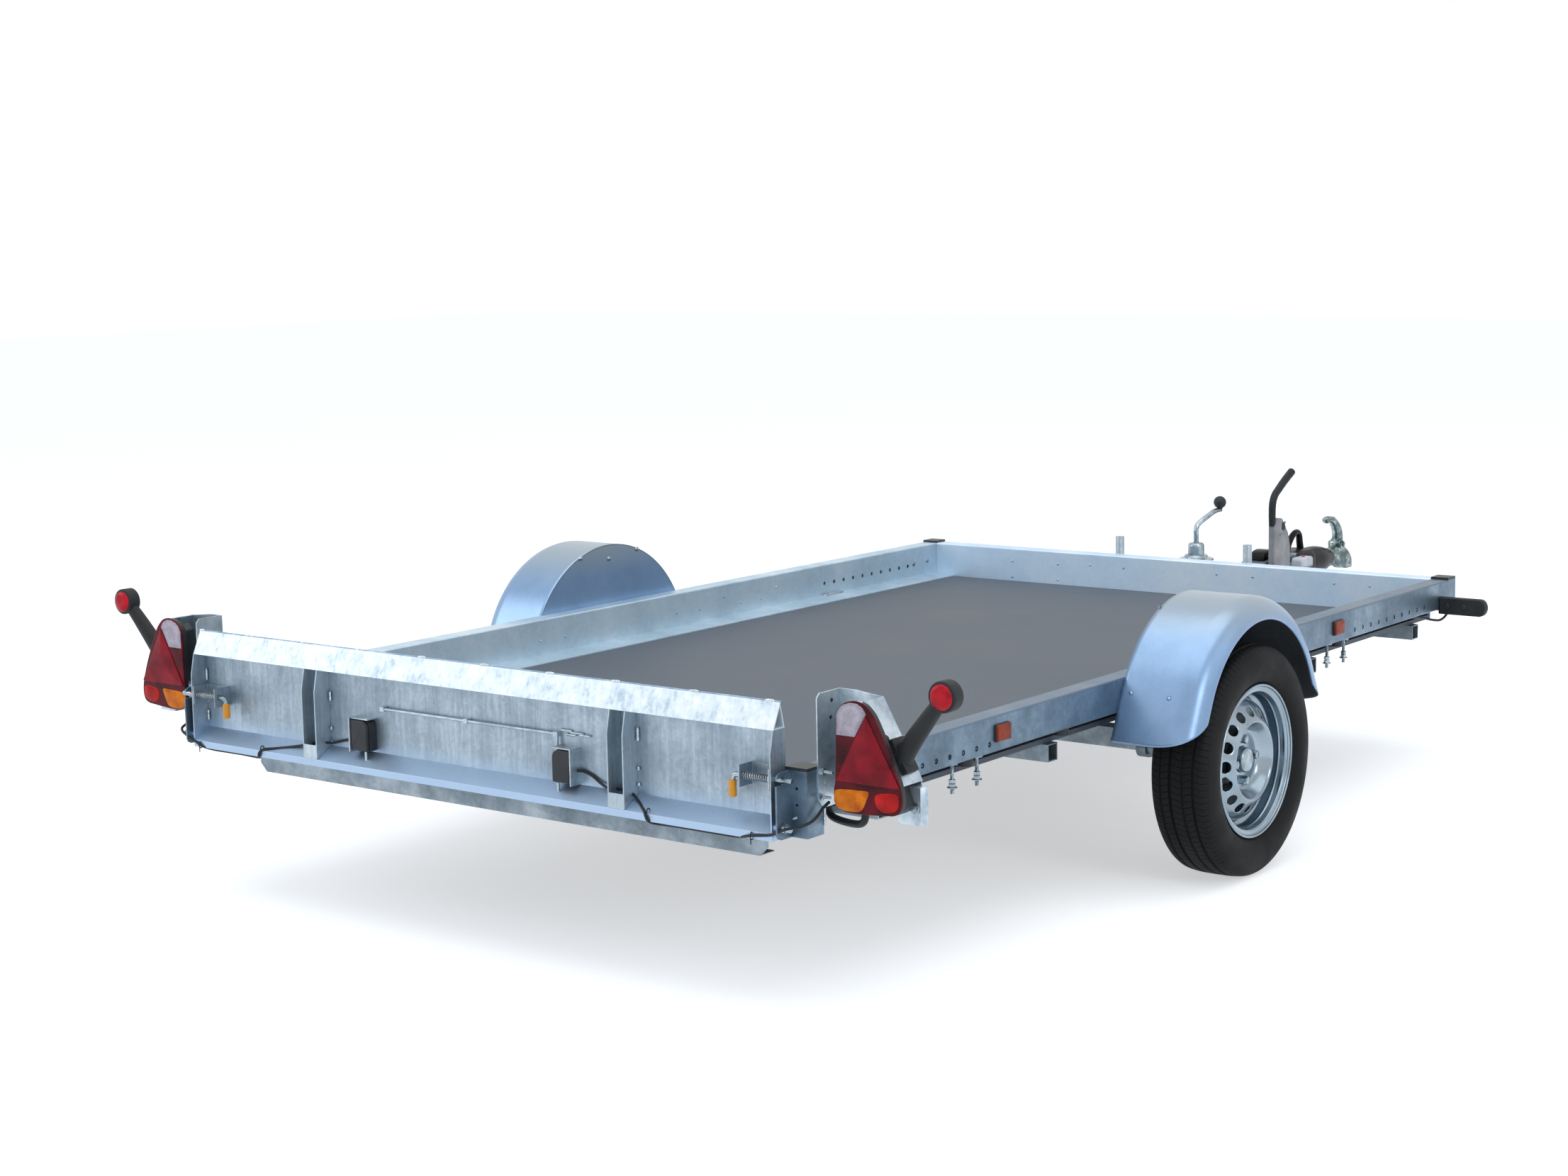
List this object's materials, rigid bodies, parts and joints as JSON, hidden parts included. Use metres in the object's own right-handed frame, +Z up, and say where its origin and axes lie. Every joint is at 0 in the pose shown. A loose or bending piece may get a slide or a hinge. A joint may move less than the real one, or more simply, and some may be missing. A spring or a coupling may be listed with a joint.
{
  "type": "tilt trailer",
  "caption": "Flat single-axle tilt trailer with low folded-steel rails, a latched tailgate, fenders, lamps and an overrun coupling with jockey leg.",
  "frame": {"origin": "on the ground, under the middle of the bounding box", "axes": "+X to the trailer's right, +Y forward to the coupling, +Z up"},
  "size_m": [2.429, 4.34, 0.7185],
  "materials": {
    "zinc_steel": "hot-dip galvanised, dull",
    "plywood": "dark film-faced birch plywood",
    "black_plastic": "moulded black",
    "rubber": "moulded black rubber",
    "tyre_rubber": "tyre",
    "silver_paint": "silver wheel paint",
    "cast_hub": "cast drum, zinc cap",
    "lamp_plastic": "red lamp lens on a black housing",
    "amber_plastic": "amber reflector",
    "latch_zinc": "zinc-plated pin with an orange grip",
    "lever_paint": "taupe grey paint",
    "bright_zinc": "bright zinc plating",
    "spring_steel": "plated spring wire",
    "plug_plastic": "pale grey plastic"
  },
  "bodies": {
    "drawbar": {"drawbar_tube": "zinc_steel", "cradle_hoop": "zinc_steel", "jockey_clamp": "zinc_steel", "jockey_leg": "bright_zinc", "jockey_wheel": "rubber", "overrun_housing": "zinc_steel", "brake_cable": "black_plastic", "plug_holder": "plug_plastic", "boot": "rubber"},
    "deck": {"floor_panel": "plywood", "side_rail_right": "zinc_steel", "side_rail_left": "zinc_steel", "front_rail": "zinc_steel", "corner_posts": "zinc_steel", "post_caps": "black_plastic", "spine_beams": "zinc_steel", "outriggers": "zinc_steel", "rear_beam": "zinc_steel", "tilt_pin": "bright_zinc", "axle_beam": "zinc_steel", "axle_arms": "zinc_steel", "fender_right": "zinc_steel", "fender_left": "zinc_steel", "lamp_carriers": "zinc_steel", "tail_lamps": "lamp_plastic", "marker_arms": "rubber", "front_markers": "rubber", "side_reflectors": "amber_plastic", "clamp_rods": "bright_zinc", "rail_plugs": "black_plastic", "lamp_leads": "rubber"},
    "wheel_right": {"tyre_right": "tyre_rubber", "rim_right": "silver_paint", "hub_right": "cast_hub"},
    "wheel_left": {"tyre_left": "tyre_rubber", "rim_left": "silver_paint", "hub_left": "cast_hub"},
    "tailgate": {"gate_panel": "zinc_steel", "gate_top_tube": "zinc_steel", "gate_ends": "zinc_steel", "gate_ribs": "zinc_steel", "latch_brackets": "zinc_steel", "latch_spring_right": "spring_steel", "latch_spring_left": "spring_steel", "plate_lamps": "black_plastic", "plate_rod": "bright_zinc"},
    "latch_right": {"latch_pin_right": "latch_zinc"},
    "latch_left": {"latch_pin_left": "latch_zinc"},
    "coupling": {"coupling": "bright_zinc"},
    "release_handle": {"coupling_handle": "bright_zinc"},
    "crank": {"jockey_crank": "bright_zinc", "jockey_knob": "black_plastic"},
    "hand_brake": {"brake_lever": "lever_paint", "brake_grip": "black_plastic"}
  },
  "joints": [
    {"name": "deck_tilt", "type": "hinge", "parent": "drawbar", "child": "deck", "pos_m": [0, -0.648, 0.349], "axis": [1, 0, 0], "range_deg": [0, 12]},
    {"name": "wheel_spin_right", "type": "hinge", "parent": "deck", "child": "wheel_right", "pos_m": [1.034, -0.648, 0.2735], "axis": [1, 0, 0], "continuous": true},
    {"name": "wheel_spin_left", "type": "hinge", "parent": "deck", "child": "wheel_left", "pos_m": [-1.034, -0.648, 0.2735], "axis": [1, 0, 0], "continuous": true},
    {"name": "tailgate_hinge", "type": "hinge", "parent": "deck", "child": "tailgate", "pos_m": [0, -2.153, 0.386], "axis": [1, 0, 0], "range_deg": [0, 105]},
    {"name": "latch_slide_right", "type": "slide", "parent": "tailgate", "child": "latch_right", "axis": [-1, 0, 0], "range_m": [0, 0.036], "stiffness_N_per_m": 400, "springref_m": -0.02, "deforming": ["latch_spring_right"]},
    {"name": "latch_slide_left", "type": "slide", "parent": "tailgate", "child": "latch_left", "axis": [1, 0, 0], "range_m": [0, 0.036], "stiffness_N_per_m": 400, "springref_m": -0.02, "deforming": ["latch_spring_left"]},
    {"name": "overrun_slide", "type": "slide", "parent": "drawbar", "child": "coupling", "axis": [0, -1, 0], "range_m": [0, 0.07], "deforming": ["boot"]},
    {"name": "coupling_release", "type": "hinge", "parent": "coupling", "child": "release_handle", "pos_m": [0, 2.099, 0.414], "axis": [-1, 0, 0], "range_deg": [0, 40]},
    {"name": "jockey_crank_turn", "type": "hinge", "parent": "drawbar", "child": "crank", "pos_m": [-0.085, 1.254, 0.5], "axis": [0, 0, 1], "continuous": true},
    {"name": "hand_brake_lever", "type": "hinge", "parent": "drawbar", "child": "hand_brake", "pos_m": [0.069, 1.532, 0.4], "axis": [-1, 0, 0], "range_deg": [0, 40]}
  ]
}
